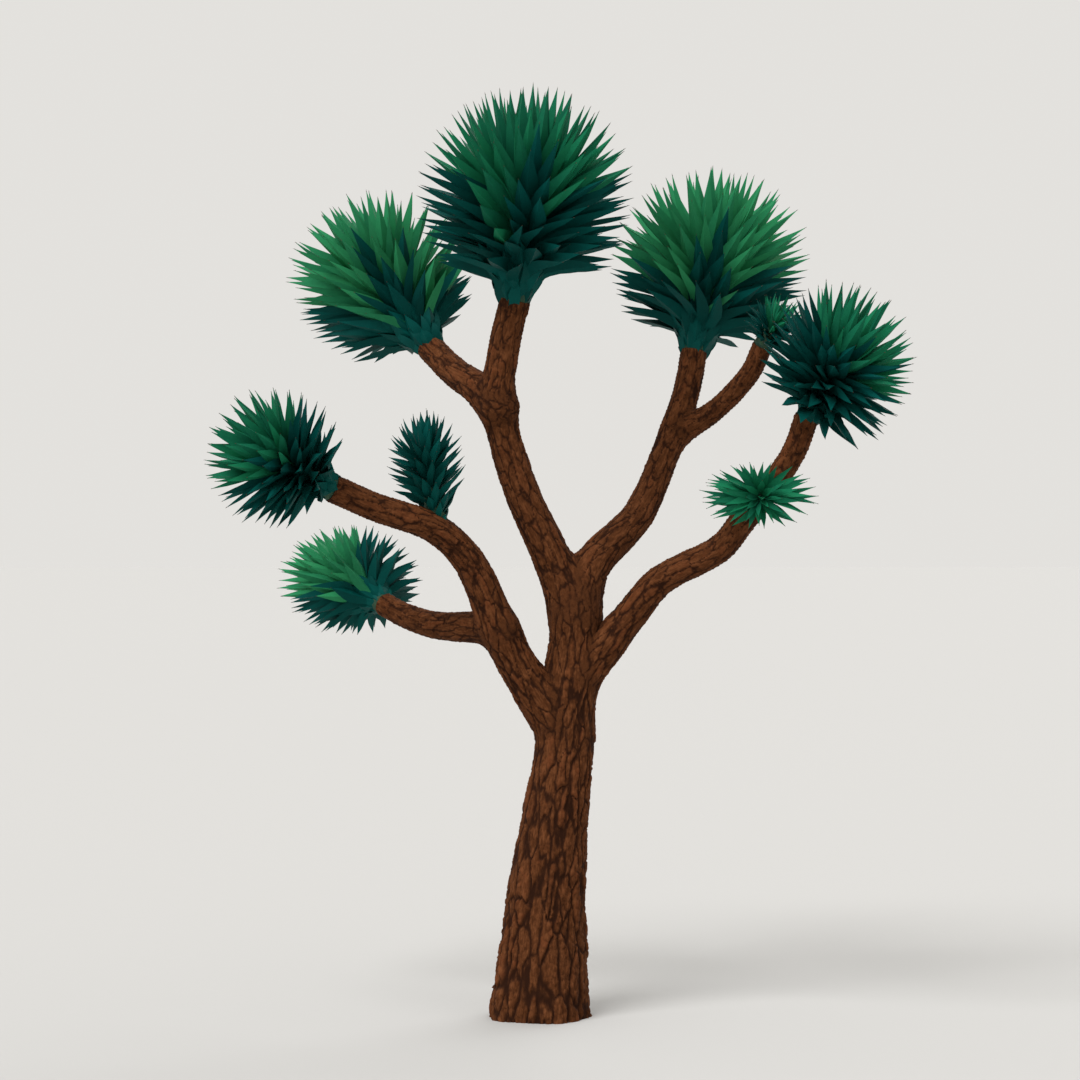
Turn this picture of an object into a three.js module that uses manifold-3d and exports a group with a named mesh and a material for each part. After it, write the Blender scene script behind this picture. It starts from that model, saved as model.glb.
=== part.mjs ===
// A joshua tree about 3.7 m tall, rooted in level ground. Millimetres, +Z up.
// The origin is the middle of the flat cut under the trunk, at ground level.
// Seen from the front, along +Y, +X is to the right and -Y is towards the viewer.

import * as THREE from "three";
import { mergeVertices } from "three/addons/utils/BufferGeometryUtils.js";
import Module from "manifold-3d";

// Gap between touching pieces, and how close two vertices of one surface may lie.
const gap = 0.3;
const weld = 0.001;

// The root flare: shallow lobes round the foot of the trunk that die away upwards.
const rootLobes = 5;
const rootLobeDepth = 0.05;
const rootLobeHeight = 160;
const groundBlockSize = [900, 900, 400];

// Leaves are stiff daggers, flat above and keeled below, that are widest part of the way
// along. They are fewer and broader than on the real plant.
const leafWidth = 0.145; // share of the head's mean reach
const leafThickness = 0.4; // share of the leaf's width
const leafWidest = 0.52; // share of the leaf's length from its root
const leafRootOut = 0.5; // how far from the stem's middle a leaf starts, of the stem's radius
const leafClearFrom = 1.2; // where a leaf has left the dense middle, of the stem's radius
const shortestLeaf = 0.93; // share of the reach that the shortest leaf has
const leafJitter = 0.1; // radians that a leaf strays from its place in the spiral
const limbClearance = 24; // between a leaf's middle line and any limb
const limbSampleSpacing = 30;

// The dense middle of a head, where the leaf bases overlap, is pear-shaped: two balls on
// the stem. along is a share of the stem's length, and size one of the head's reach.
const coreBalls = [
  { along: 0.94, size: 0.5, segments: [10, 7] },
  { along: 0.52, size: 0.3, segments: [8, 5] },
];
const stemPastMiddle = -0.1; // how far past the head's middle the stem runs, of the reach
const lowestLeafAlong = 0.14; // of the stem's length
const rootDrop = 1.4; // above 1, only the lowest leaves start low on the stem

// The seed, multiplier, step and range of the repeatable random numbers.
const randomNumbers = { seed: 20, multiplier: 1664525, step: 1013904223, range: 2 ** 32 };
const goldenAngle = Math.PI * (3 - Math.sqrt(5));

// Limbs. Each is round, runs smoothly through its points and tapers from base to tip:
// a limb with a high flare narrows soon after its base. A limb starts inside its parent.
// It has so many sides, with rings one step apart, and dome is the share of its length
// over which its top rounds off.
const limbs = {
  trunk: {
    path: [[-3, 0, -90], [2, 0, 120], [16, 4, 383], [48, 8, 703], [92, 12, 1023],
      [122, 16, 1327], [138, 16, 1600], [146, 16, 1800]],
    base: 216, tip: 94, flare: 1.7, sides: 20, step: 125, dome: 0.1,
  },
  bough_top: {
    parent: "trunk",
    path: [[132, 14, 1600], [59, 0, 1805], [-90, -62, 2143], [-164, -119, 2439],
      [-142, -156, 2662], [-99, -181, 2849]],
    base: 86, tip: 62, flare: 2, sides: 12, step: 105,
  },
  bough_upper_right: {
    parent: "trunk",
    path: [[148, 16, 1606], [205, 48, 1795], [394, 144, 2001], [507, 219, 2246],
      [603, 288, 2527], [632, 319, 2676]],
    base: 88, tip: 55, flare: 2.2, sides: 12, step: 105,
  },
  bough_right: {
    parent: "trunk",
    path: [[126, 12, 1322], [238, 0, 1444], [374, -38, 1620], [478, -75, 1742],
      [714, -162, 1874], [787, -194, 1967], [980, -269, 2225], [1041, -312, 2383]],
    base: 80, tip: 48, flare: 1.7, sides: 12, step: 100,
  },
  bough_left: {
    parent: "trunk",
    path: [[98, 12, 1132], [-3, -5, 1268], [-142, -69, 1503], [-268, -162, 1800],
      [-396, -238, 1939], [-645, -344, 2034], [-803, -412, 2105]],
    base: 96, tip: 55, flare: 1.8, sides: 12, step: 100,
  },
  limb_upper_left: {
    parent: "bough_top",
    path: [[-166, -121, 2430], [-253, -50, 2512], [-333, 38, 2571], [-447, 188, 2684]],
    base: 76, tip: 56, flare: 2, sides: 12, step: 95,
  },
  limb_inner_right: {
    parent: "bough_upper_right",
    path: [[560, 246, 2334], [704, 185, 2426], [844, 75, 2575], [893, 12, 2685]],
    base: 48, tip: 42, flare: 2, sides: 12, step: 95,
  },
  limb_lower_left: {
    parent: "bough_left",
    path: [[-152, -80, 1550], [-280, 0, 1556], [-424, 112, 1561], [-553, 225, 1598],
      [-639, 300, 1641]],
    base: 70, tip: 48, flare: 1.4, sides: 12, step: 95,
  },
};

// Heads of leaves. reach holds the half-widths of the space that the head keeps to, along
// X, Y and Z. A head ends its limb, or sprouts from the limb at the point named in from.
// headSpread is how far round a head's middle the tips of its leaves go, in degrees.
const headSpread = 130;
const heads = {
  head_top: {
    limb: "bough_top", centre: [-54, -212, 3265], reach: [448, 434, 452], leaves: 110,
  },
  head_upper_left: {
    limb: "limb_upper_left", centre: [-662, 412, 2996], reach: [398, 376, 371], leaves: 86,
  },
  head_upper_right: {
    limb: "bough_upper_right", centre: [703, 412, 3054], reach: [430, 414, 413], leaves: 96,
  },
  head_right: {
    limb: "bough_right", centre: [1153, -400, 2582], reach: [315, 320, 342], leaves: 74,
  },
  head_left: {
    limb: "bough_left", centre: [-1018, -525, 2222], reach: [280, 280, 282], leaves: 62,
  },
  head_lower_left: {
    limb: "limb_lower_left", centre: [-794, 475, 1741], reach: [314, 286, 242], leaves: 64,
  },
  head_inner_right: {
    limb: "limb_inner_right", centre: [942, -25, 2766], reach: [134, 134, 134], leaves: 28,
  },
  tuft_left: {
    limb: "bough_left", from: [-402, -240, 1948], stemRadius: 44,
    centre: [-446, -240, 2211], reach: [160, 150, 213], leaves: 60, pastMiddle: 0.2,
  },
  tuft_right: {
    limb: "bough_right", from: [845, -217, 2050], stemRadius: 40,
    centre: [856, -343, 2079], reach: [246, 146, 139], leaves: 48, pastMiddle: 0,
  },
};
const stemTaper = 0.6;
const stemSides = 12;
const stemStepsPerReach = 3;
const stemBend = 1 / 3; // how far along the stem it still heads as its limb does

const colours = {
  bark: 0x4c2b18,
  leafLight: 0x226a44,
  leafMid: 0x18563d,
  leafDark: 0x032f2e,
};
const headColours = {
  head_top: colours.leafMid,
  head_right: colours.leafMid,
  head_left: colours.leafMid,
  head_inner_right: colours.leafMid,
  tuft_right: colours.leafMid,
  tuft_left: colours.leafDark,
};

const wasm = await Module();
wasm.setup();

const vector = (values) => new THREE.Vector3(...values);

// A generator of repeatable random numbers from 0 to 1.
function seeded({ seed, multiplier, step, range }) {
  let state = seed;
  return () => {
    state = (state * multiplier + step) % range;
    return state / range;
  };
}

// A closed three.js geometry as a solid that can be cut and joined.
function solidOf(geometry) {
  geometry.deleteAttribute("normal");
  geometry.deleteAttribute("uv");
  const closed = mergeVertices(geometry, weld);
  const mesh = new wasm.Mesh({
    numProp: 3,
    vertProperties: closed.attributes.position.array,
    triVerts: new Uint32Array(closed.index.array),
  });
  return new wasm.Manifold(mesh);
}

// The largest body of a solid, without the scraps that a cut leaves.
function largestBody(solid) {
  const bodies = solid.decompose();
  return bodies.reduce((best, body) => (body.volume() > best.volume() ? body : best));
}

function meshOf(name, solid, color, roughness) {
  const { numProp, vertProperties, triVerts } = solid.getMesh();
  const geometry = new THREE.BufferGeometry();
  geometry.setAttribute("position", new THREE.BufferAttribute(vertProperties, numProp));
  geometry.setIndex(new THREE.BufferAttribute(triVerts, 1));
  geometry.computeVertexNormals();
  const material = new THREE.MeshStandardMaterial({
    color, roughness, metalness: 0, flatShading: true,
  });
  const mesh = new THREE.Mesh(geometry, material);
  mesh.name = name;
  return mesh;
}

// A limb's radius at a share of its length. A domed top narrows like a circle's edge to
// a fifth of its width.
function radiusAt(limb, along) {
  const tapered = limb.tip + (limb.base - limb.tip) * (1 - along) ** limb.flare;
  const domeStart = 1 - (limb.dome ?? 0);
  if (along <= domeStart) return tapered;
  const up = (along - domeStart) / limb.dome;
  return tapered * Math.max(Math.sqrt(1 - Math.min(up, 1) ** 2), 0.2);
}

// The share by which the root lobes widen the trunk at one angle and height.
function rootLobe(angle, height) {
  const fade = Math.exp(-Math.max(height, 0) / rootLobeHeight);
  return 1 + rootLobeDepth * Math.cos(rootLobes * angle) * fade;
}

// A closed round tube along a limb: a cylinder whose rings are moved onto the limb's line.
function limbSolid(limb, grow = 0) {
  const steps = Math.max(3, Math.round(limb.curve.getLength() / limb.step));
  const tube = new THREE.CylinderGeometry(1, 1, 1, limb.sides, steps);
  const frames = limb.curve.computeFrenetFrames(steps, false);
  const position = tube.attributes.position;
  for (let i = 0; i < position.count; i += 1) {
    const ring = Math.round((position.getY(i) + 0.5) * steps);
    const along = ring / steps;
    const centre = limb.curve.getPointAt(along);
    const angle = Math.atan2(position.getZ(i), position.getX(i));
    const lobe = limb.parent ? 1 : rootLobe(angle, centre.z);
    const radius = radiusAt(limb, along) * lobe + grow;
    const endStep = ring === 0 ? -grow : ring === steps ? grow : 0;
    centre.addScaledVector(frames.binormals[ring], position.getX(i) * radius);
    centre.addScaledVector(frames.normals[ring], position.getZ(i) * radius);
    centre.addScaledVector(frames.tangents[ring], endStep);
    position.setXYZ(i, centre.x, centre.y, centre.z);
  }
  return solidOf(tube);
}

// Everything below ground level, for the flat cut under the trunk.
function groundBlock() {
  const block = new THREE.BoxGeometry(...groundBlockSize);
  block.translate(0, 0, -groundBlockSize[2] / 2);
  return solidOf(block);
}

// Each limb, cut to a saddle where it leaves its parent and clear of its neighbours.
function buildLimbs() {
  for (const limb of Object.values(limbs)) {
    limb.curve = new THREE.CatmullRomCurve3(limb.path.map(vector), false, "centripetal");
  }
  const built = {};
  for (const [name, limb] of Object.entries(limbs)) {
    let solid = limbSolid(limb);
    if (!limb.parent) solid = solid.subtract(groundBlock());
    for (const earlier of Object.keys(built)) {
      solid = solid.subtract(limbSolid(limbs[earlier], gap));
    }
    built[name] = largestBody(solid);
  }
  return built;
}

// How far out a point lies in a head's space: 0 at its middle, 1 on its surface.
function levelIn(head, point) {
  return point.clone().sub(head.middle).divide(head.halfWidths).length();
}

// The stem inside a head runs on from its limb's tip, or sprouts from inside the limb.
function prepareHead(head) {
  const limb = limbs[head.limb];
  head.middle = vector(head.centre);
  head.halfWidths = vector(head.reach);
  head.meanReach = (head.reach[0] + head.reach[1] + head.reach[2]) / 3;
  const start = head.from ? vector(head.from) : limb.curve.getPointAt(1);
  const heading = head.from
    ? head.middle.clone().sub(start).normalize()
    : limb.curve.getTangentAt(1);
  if (!head.from) start.addScaledVector(heading, gap);
  const bend = start.clone()
    .addScaledVector(heading, start.distanceTo(head.middle) * stemBend);
  const axis = head.middle.clone().sub(bend).normalize();
  const pastMiddle = (head.pastMiddle ?? stemPastMiddle) * head.meanReach;
  const tip = head.middle.clone().addScaledVector(axis, pastMiddle);
  head.axis = axis;
  head.stem = {
    parent: head.limb, base: head.stemRadius ?? limb.tip, flare: 1,
    sides: stemSides, step: head.meanReach / stemStepsPerReach,
    curve: new THREE.QuadraticBezierCurve3(start, bend, tip),
  };
  head.stem.tip = head.stem.base * stemTaper;
  head.cores = coreBalls.map(({ along, size, segments }) => ({
    middle: head.stem.curve.getPointAt(along),
    halfWidths: head.halfWidths.clone().multiplyScalar(size),
    segments,
  }));
}

// Points along every limb with its radius there, to keep leaves clear of the wood.
function limbSamples() {
  return Object.values(limbs).flatMap((limb) => {
    const count = Math.round(limb.curve.getLength() / limbSampleSpacing);
    return Array.from({ length: count + 1 }, (_, i) => ({
      point: limb.curve.getPointAt(i / count), radius: radiusAt(limb, i / count),
    }));
  });
}

// A leaf keeps to its own head's space and touches no limb.
function leafFits(head, leaf, samples) {
  for (const other of Object.values(heads)) {
    if (other !== head && levelIn(other, leaf.tip) < levelIn(head, leaf.tip)) return false;
  }
  const blade = new THREE.Line3(leaf.emerges, leaf.tip);
  const nearest = new THREE.Vector3();
  return samples.every(({ point, radius }) => {
    blade.closestPointToPoint(point, true, nearest);
    return nearest.distanceTo(point) > radius + limbClearance;
  });
}

// Leaves stand round the stem in a golden spiral, from straight ahead at its tip to the
// lowest, which fan out from the foot. Their tips are even over the head's space.
function leavesOf(head, random) {
  const across = new THREE.Vector3(0, 1, 0).cross(head.axis).normalize();
  const back = head.axis.clone().cross(across);
  const spread = THREE.MathUtils.degToRad(headSpread);
  return Array.from({ length: head.leaves }, (_, k) => {
    const share = (k + 0.5) / head.leaves;
    const polar = Math.acos(1 - share * (1 - Math.cos(spread))) + leafJitter * (random() - 0.5);
    const turn = k * goldenAngle + leafJitter * (random() - 0.5);
    const surface = head.axis.clone().multiplyScalar(Math.cos(polar))
      .addScaledVector(across, Math.sin(polar) * Math.cos(turn))
      .addScaledVector(back, Math.sin(polar) * Math.sin(turn))
      .multiply(head.halfWidths)
      .add(head.middle);
    const along = THREE.MathUtils.lerp(1, lowestLeafAlong, share ** rootDrop);
    const origin = head.stem.curve.getPointAt(along);
    const direction = surface.clone().sub(origin).normalize();
    const radius = radiusAt(head.stem, along);
    return {
      root: origin.clone().addScaledVector(direction, radius * leafRootOut),
      emerges: origin.clone().addScaledVector(direction, radius * leafClearFrom),
      tip: origin.clone().lerp(surface, THREE.MathUtils.lerp(shortestLeaf, 1, random())),
      direction,
    };
  });
}

// A leaf is two three-sided points, end to end: a sphere of three slices and two bands
// whose middle ring is moved to the leaf's widest place, with its keel underneath. A ring
// of radius 1 is a triangle with sides of the root of 3 and a height of 1.5.
function leafSolid(head, leaf) {
  const length = leaf.root.distanceTo(leaf.tip);
  const width = leafWidth * head.meanReach;
  const thickness = leafThickness * width;
  const blade = new THREE.SphereGeometry(1, 3, 2, Math.PI / 2);
  const position = blade.attributes.position;
  for (let i = 0; i < position.count; i += 1) {
    const end = Math.round(position.getY(i));
    const along = end === 0 ? leafWidest : (end + 1) / 2;
    position.setY(i, along * length);
  }
  blade.scale(width / Math.sqrt(3), 1, thickness / 1.5);
  const sideways = head.axis.clone().cross(leaf.direction).normalize();
  const keelward = sideways.clone().cross(leaf.direction);
  blade.applyMatrix4(new THREE.Matrix4().makeBasis(sideways, leaf.direction, keelward));
  blade.translate(leaf.root.x, leaf.root.y, leaf.root.z);
  return solidOf(blade);
}

function coreSolid({ middle, halfWidths, segments }) {
  const ball = new THREE.SphereGeometry(1, ...segments);
  ball.scale(halfWidths.x, halfWidths.y, halfWidths.z);
  ball.translate(middle.x, middle.y, middle.z);
  return solidOf(ball);
}

// A head is its stem, the dense middle and the leaves, fused and clear of its limb.
function headSolid(head, samples, random) {
  let solid = limbSolid(head.stem);
  for (const core of head.cores) solid = solid.add(coreSolid(core));
  for (const leaf of leavesOf(head, random)) {
    if (leafFits(head, leaf, samples)) solid = solid.add(leafSolid(head, leaf));
  }
  if (head.from) solid = solid.subtract(limbSolid(limbs[head.limb], gap));
  return largestBody(solid);
}

const tree = new THREE.Group();
tree.name = "joshua_tree";
for (const [name, solid] of Object.entries(buildLimbs())) {
  tree.add(meshOf(name, solid, colours.bark, 0.95));
}
Object.values(heads).forEach(prepareHead);
const samples = limbSamples();
const random = seeded(randomNumbers);
for (const [name, head] of Object.entries(heads)) {
  const solid = headSolid(head, samples, random);
  tree.add(meshOf(name, solid, headColours[name] ?? colours.leafLight, 0.6));
}

export default tree;
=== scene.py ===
# %% [markdown]
# # A joshua tree
# A joshua tree is a giant yucca: a corky trunk, a few forked boughs and, at the end of each
# one, a round head of stiff green daggers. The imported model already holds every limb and
# head at its real size, so the lesson starts by loading it as a frame to build around.
# Modelling freely and scaling the result afterwards is the other way, and it drifts away
# from the measured sizes. Everything is in metres, +Z up, with the foot of the trunk at the
# origin and the viewer on the -Y side.

# %% Load the frame
import math

import bmesh
import bpy
import numpy as np
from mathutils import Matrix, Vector, noise


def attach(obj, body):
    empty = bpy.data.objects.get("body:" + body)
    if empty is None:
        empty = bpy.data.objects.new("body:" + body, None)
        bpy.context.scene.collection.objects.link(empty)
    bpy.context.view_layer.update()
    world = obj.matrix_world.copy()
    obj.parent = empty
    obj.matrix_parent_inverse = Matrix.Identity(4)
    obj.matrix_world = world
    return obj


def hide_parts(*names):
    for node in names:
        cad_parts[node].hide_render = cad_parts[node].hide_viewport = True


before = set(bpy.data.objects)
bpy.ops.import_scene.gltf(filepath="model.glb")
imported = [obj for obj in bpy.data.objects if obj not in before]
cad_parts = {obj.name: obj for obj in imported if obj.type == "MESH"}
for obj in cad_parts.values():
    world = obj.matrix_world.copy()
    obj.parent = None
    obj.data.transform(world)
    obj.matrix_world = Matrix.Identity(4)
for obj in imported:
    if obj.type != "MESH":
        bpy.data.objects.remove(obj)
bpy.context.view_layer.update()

# %% [markdown]
# ## Where the limbs run
# Each limb is round and tapers from base to tip along a smooth curved line. Blender's own
# curve objects could draw it, but the bark needs to know, for every point of the surface,
# how far along the limb and how far round it lies. So the lines are worked out here as plain
# arrays, by the rule that shaped the frame: a centripetal Catmull-Rom curve, which passes
# through all its points without overshooting between them.

# %% Routes and sizes of the limbs, in millimetres
mm = 0.001
limb_sizes = {
    "trunk": {
        "path": [(-3, 0, -90), (2, 0, 120), (16, 4, 383), (48, 8, 703), (92, 12, 1023),
                 (122, 16, 1327), (138, 16, 1600), (146, 16, 1800)],
        "base": 216, "tip": 94, "flare": 1.7, "dome": 0.1,
    },
    "bough_top": {
        "path": [(132, 14, 1600), (59, 0, 1805), (-90, -62, 2143), (-164, -119, 2439),
                 (-142, -156, 2662), (-99, -181, 2849)],
        "base": 86, "tip": 62, "flare": 2,
    },
    "bough_upper_right": {
        "path": [(148, 16, 1606), (205, 48, 1795), (394, 144, 2001), (507, 219, 2246),
                 (603, 288, 2527), (632, 319, 2676)],
        "base": 88, "tip": 55, "flare": 2.2,
    },
    "bough_right": {
        "path": [(126, 12, 1322), (238, 0, 1444), (374, -38, 1620), (478, -75, 1742),
                 (714, -162, 1874), (787, -194, 1967), (980, -269, 2225), (1041, -312, 2383)],
        "base": 80, "tip": 48, "flare": 1.7,
    },
    "bough_left": {
        "path": [(98, 12, 1132), (-3, -5, 1268), (-142, -69, 1503), (-268, -162, 1800),
                 (-396, -238, 1939), (-645, -344, 2034), (-803, -412, 2105)],
        "base": 96, "tip": 55, "flare": 1.8,
    },
    "limb_upper_left": {
        "path": [(-166, -121, 2430), (-253, -50, 2512), (-333, 38, 2571), (-447, 188, 2684)],
        "base": 76, "tip": 56, "flare": 2,
    },
    "limb_inner_right": {
        "path": [(560, 246, 2334), (704, 185, 2426), (844, 75, 2575), (893, 12, 2685)],
        "base": 48, "tip": 42, "flare": 2,
    },
    "limb_lower_left": {
        "path": [(-152, -80, 1550), (-280, 0, 1556), (-424, 112, 1561), (-553, 225, 1598),
                 (-639, 300, 1641)],
        "base": 70, "tip": 48, "flare": 1.4,
    },
}


def unit(vectors):
    """Vectors of length one, for a single vector or an array of them."""
    vectors = np.asarray(vectors, float)
    return vectors / np.linalg.norm(vectors, axis=-1, keepdims=True)


def smooth_line(points, steps_per_span=24):
    """Points on the centripetal Catmull-Rom curve through the given ones."""
    points = np.array(points, float)
    before_first = 2 * points[0] - points[1]
    after_last = 2 * points[-1] - points[-2]
    padded = np.vstack([before_first, points, after_last])
    t = np.linspace(0, 1, steps_per_span, endpoint=False)[:, None]
    line = []
    for before, start, end, after in zip(padded, padded[1:], padded[2:], padded[3:]):
        d0 = np.linalg.norm(start - before) ** 0.5
        d1 = np.linalg.norm(end - start) ** 0.5
        d2 = np.linalg.norm(after - end) ** 0.5
        leaving = d1 * ((start - before) / d0 - (end - before) / (d0 + d1)) + end - start
        arriving = d1 * ((after - end) / d2 - (after - start) / (d1 + d2)) + end - start
        line.append(
            (2 * t**3 - 3 * t**2 + 1) * start + (t**3 - 2 * t**2 + t) * leaving
            + (3 * t**2 - 2 * t**3) * end + (t**3 - t**2) * arriving
        )
    return np.vstack([*line, points[-1:]])


def evenly(line, spacing):
    """The same line with its points a given distance apart."""
    gone = np.concatenate([[0], np.cumsum(np.linalg.norm(np.diff(line, axis=0), axis=1))])
    places = np.linspace(0, gone[-1], max(3, round(gone[-1] / spacing) + 1))
    return np.column_stack([np.interp(places, gone, line[:, axis]) for axis in range(3)])


print("limbs to draw:", ", ".join(limb_sizes))

# %% [markdown]
# A limb also needs a pair of directions square to its line, so that "round the limb" means
# the same thing all along it. Taking them from the line's own bends makes them spin where it
# straightens. Carrying one direction along the line and squaring it up at each step keeps
# them still, and the bark's furrows then run straight up the limb.

# %% A limb and its directions
line_spacing = 0.004
root_lobes = 5
root_lobe_depth = 0.05  # of the trunk's radius
root_lobe_height = 0.16
narrowest_in_dome = 0.2  # of the radius that the limb would have there
points_at_once = 4096  # measured together, to save memory


class Limb:
    """A round tapering limb: a line, its radii, and two directions square to it."""

    def __init__(self, line, base, tip, flare, dome=0.0, lobed=False):
        self.line = evenly(line, line_spacing)
        share = np.linspace(0, 1, len(self.line))
        self.radii = tip + (base - tip) * (1 - share) ** flare
        if dome:
            up = np.clip((share - 1 + dome) / dome, 0, 1)
            self.radii *= np.maximum(np.sqrt(1 - up**2), narrowest_in_dome)
        self.lobed = lobed
        self.tangents = unit(np.gradient(self.line, axis=0))
        right = np.eye(3)[np.argmin(abs(self.tangents[0]))]
        rights = []
        for tangent in self.tangents:
            right = unit(right - tangent * (right @ tangent))
            rights.append(right)
        self.rights = np.array(rights)
        self.backs = np.cross(self.tangents, self.rights)
        steps = np.linalg.norm(np.diff(self.line, axis=0), axis=1)
        self.gone = np.concatenate([[0], np.cumsum(steps)])

    def measure(self, points):
        """For each point, its nearest place on the line and how far out of the limb it lies."""
        place = np.empty(len(points), int)
        for start in range(0, len(points), points_at_once):
            some = points[start:start + points_at_once]
            place[start:start + points_at_once] = np.argmin(
                (self.line**2).sum(1) - 2 * some @ self.line.T, axis=1)
        offset = points - self.line[place]
        radius = self.radii[place]
        if self.lobed:
            angle = np.arctan2(offset[:, 1], offset[:, 0])
            fade = np.exp(-np.maximum(points[:, 2], 0) / root_lobe_height)
            radius = radius * (1 + root_lobe_depth * np.cos(root_lobes * angle) * fade)
        return place, offset, np.linalg.norm(offset, axis=1) - radius


limbs = {}
for name, size in limb_sizes.items():
    limbs[name] = Limb(
        smooth_line(size["path"]) * mm, size["base"] * mm, size["tip"] * mm,
        size["flare"], size.get("dome", 0), lobed=name == "trunk")
print("limbs:", {name: f"{limb.gone[-1]:.2f} m" for name, limb in limbs.items()})

# %% [markdown]
# ## One skin of wood
# The trunk and boughs of a living tree share one skin, with a rounded web in every fork.
# Tubes that simply pass into each other leave hard creases there. A Boolean union would keep
# those creases, so this step makes closed tubes, lets the voxel Remesh modifier wrap them
# all in one even grid of faces, and then moves each vertex to where a blended distance to
# the limbs is zero. That blend fills the forks as growing wood does.

# %% Tubes and their common skin
voxel = 0.0055
tube_sides = 40
tube_skip = 5  # points of a limb's line from one ring to the next


def new_mesh(name, vertices, faces):
    """A Blender object with the given vertices and faces, linked to the scene."""
    mesh = bpy.data.meshes.new(name)
    mesh.from_pydata(vertices.tolist(), [], faces)
    mesh.validate()
    piece = bpy.data.objects.new(name, mesh)
    bpy.context.scene.collection.objects.link(piece)
    return piece


def quads_between(rings, sides):
    """The faces between rings of points that follow each other."""
    return [
        (ring * sides + side, ring * sides + (side + 1) % sides,
         (ring + 1) * sides + (side + 1) % sides, (ring + 1) * sides + side)
        for ring in range(rings - 1) for side in range(sides)
    ]


def tube(limb, sides, skip):
    """Rings of points along a limb, one for every few points of its line, with closed ends."""
    rings = np.unique(np.append(np.arange(0, len(limb.line), skip), len(limb.line) - 1))
    angles = np.linspace(0, 2 * math.pi, sides, endpoint=False)[:, None, None]
    around = np.cos(angles) * limb.rights[rings] + np.sin(angles) * limb.backs[rings]
    points = (limb.line[rings] + around * limb.radii[rings][:, None]).transpose(1, 0, 2)
    faces = quads_between(len(rings), sides)
    last = (len(rings) - 1) * sides
    faces.append(tuple(range(sides))[::-1])
    faces.append(tuple(range(last, last + sides)))
    return points.reshape(-1, 3), faces


def joined(parts):
    """Several sets of vertices and faces as one."""
    vertices = np.vstack([points for points, _ in parts])
    faces = []
    count = 0
    for points, shapes in parts:
        faces += [tuple(count + corner for corner in shape) for shape in shapes]
        count += len(points)
    return vertices, faces


def applied(piece):
    """Replaces a piece's mesh with what its modifiers make of it."""
    evaluated = piece.evaluated_get(bpy.context.evaluated_depsgraph_get())
    made = bpy.data.meshes.new_from_object(evaluated)
    piece.modifiers.clear()
    piece.data = made


def points_of(mesh):
    """A mesh's vertices as an array."""
    flat = np.empty(len(mesh.vertices) * 3)
    mesh.vertices.foreach_get("co", flat)
    return flat.reshape(-1, 3)


wood = new_mesh("bark", *joined([tube(limb, tube_sides, tube_skip) for limb in limbs.values()]))
wrap = wood.modifiers.new("one skin", "REMESH")
wrap.mode = "VOXEL"
wrap.voxel_size = voxel
applied(wood)
print("skin of the wood:", len(wood.data.vertices), "vertices")

# %% [markdown]
# The blended distance is a smooth minimum: each limb's distance counts by how near it is, so
# away from the forks it is simply the distance to one round limb. Only the points near a
# limb are measured against it, as the rest would take most of the time and change nothing.

# %% Rounding the forks
fork_rounding = 0.018
rounding_steps = 3
far_away = 1.0
near_margin = 0.12


def distances(points):
    """Each point's distance from each limb, with its place on that limb's line."""
    rows = {}
    for name, limb in limbs.items():
        reach = limb.radii.max() + near_margin
        low = limb.line.min(0) - reach
        high = limb.line.max(0) + reach
        near = np.all((points > low) & (points < high), axis=1)
        place = np.zeros(len(points), int)
        offset = np.ones((len(points), 3))
        out = np.full(len(points), far_away)
        place[near], offset[near], out[near] = limb.measure(points[near])
        rows[name] = (place, offset, out)
    return rows


points = points_of(wood.data)
for _ in range(rounding_steps):
    rows = distances(points)
    out = np.array([row[2] for row in rows.values()])
    weight = np.exp(-(out - out.min(0)) / fork_rounding)
    blended = out.min(0) - fork_rounding * np.log(weight.sum(0))
    outward = np.array([unit(row[1]) for row in rows.values()])
    slope = (weight[:, :, None] * outward).sum(0) / weight.sum(0)[:, None]
    points = points - slope * blended[:, None]
print("forks rounded, last step:", round(float(abs(blended).max()) * 1000, 2), "mm")

# %% [markdown]
# ## Bark
# The bark of an old joshua tree is soft cork, split by furrows into long plates that run up
# the trunk, and each plate is cracked across into blocks. On younger limbs it is thinner,
# and rows of low scars show where leaves fell. A bump map alone would leave the outline
# smooth as a pipe, so the relief is real: every vertex moves in or out.
#
# Blender's Voronoi noise gives the plates. It finds the cells nearest to a point, and a
# furrow runs where a point is midway between two of them. The noise is read in the limb's
# own coordinates, squeezed lengthways, so the plates grow tall and follow each bend. The
# squeeze would also widen the cracks that run across, so the distance to a furrow is turned
# back into real metres before it shapes anything.

# %% Relief of the bark
plate_width = 0.022  # at a radius of nothing, with more for each metre of radius
plate_width_per_radius = 0.17
plate_tallness = 3.4
block_width = 0.42  # of a plate's width
block_tallness = 1.5
furrow_width = 0.045  # of the limb's radius, as are the next five
furrow_depth = 0.075
crack_width = 0.025
crack_depth = 0.026
plate_unevenness = 0.022
lump_height = 0.035
least_furrow_width = 0.002  # in metres, as is everything down to the radii
least_crack_width = 0.001
fibre_height = 0.0013
scar_height = 0.0030
scar_width = 0.030
scar_row = 0.017
young_radii = (0.050, 0.080)  # a limb loses its scars as it grows from the first to the second
fewest_scars = 5  # in a row round a limb
scar_crest = 0.75  # how far up its row a scar is highest
scar_lip = 0.8  # and where it starts to fall
neutral_scar = 0.4  # at this value a scar neither rises nor sinks, as with the next two
neutral_plate = 0.8
neutral_lot = 0.75
block_lot_share = 0.5  # how much a block's number counts beside its plate's
young_smoothness = 0.4
# A crack's relief also sets its painted shade in the bark material.
crack_relief_and_shade = 0.62  # how light a crack is beside the top of its plate
plate_shade_share = 0.6
furrow_bends = ((1.4, 0.30), (4.3, 0.10))  # how fine and how strong they are
lot_scale = 7.7
fibre_scales = (70, 70, 11)  # how fine, across, back and along the limb
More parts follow.
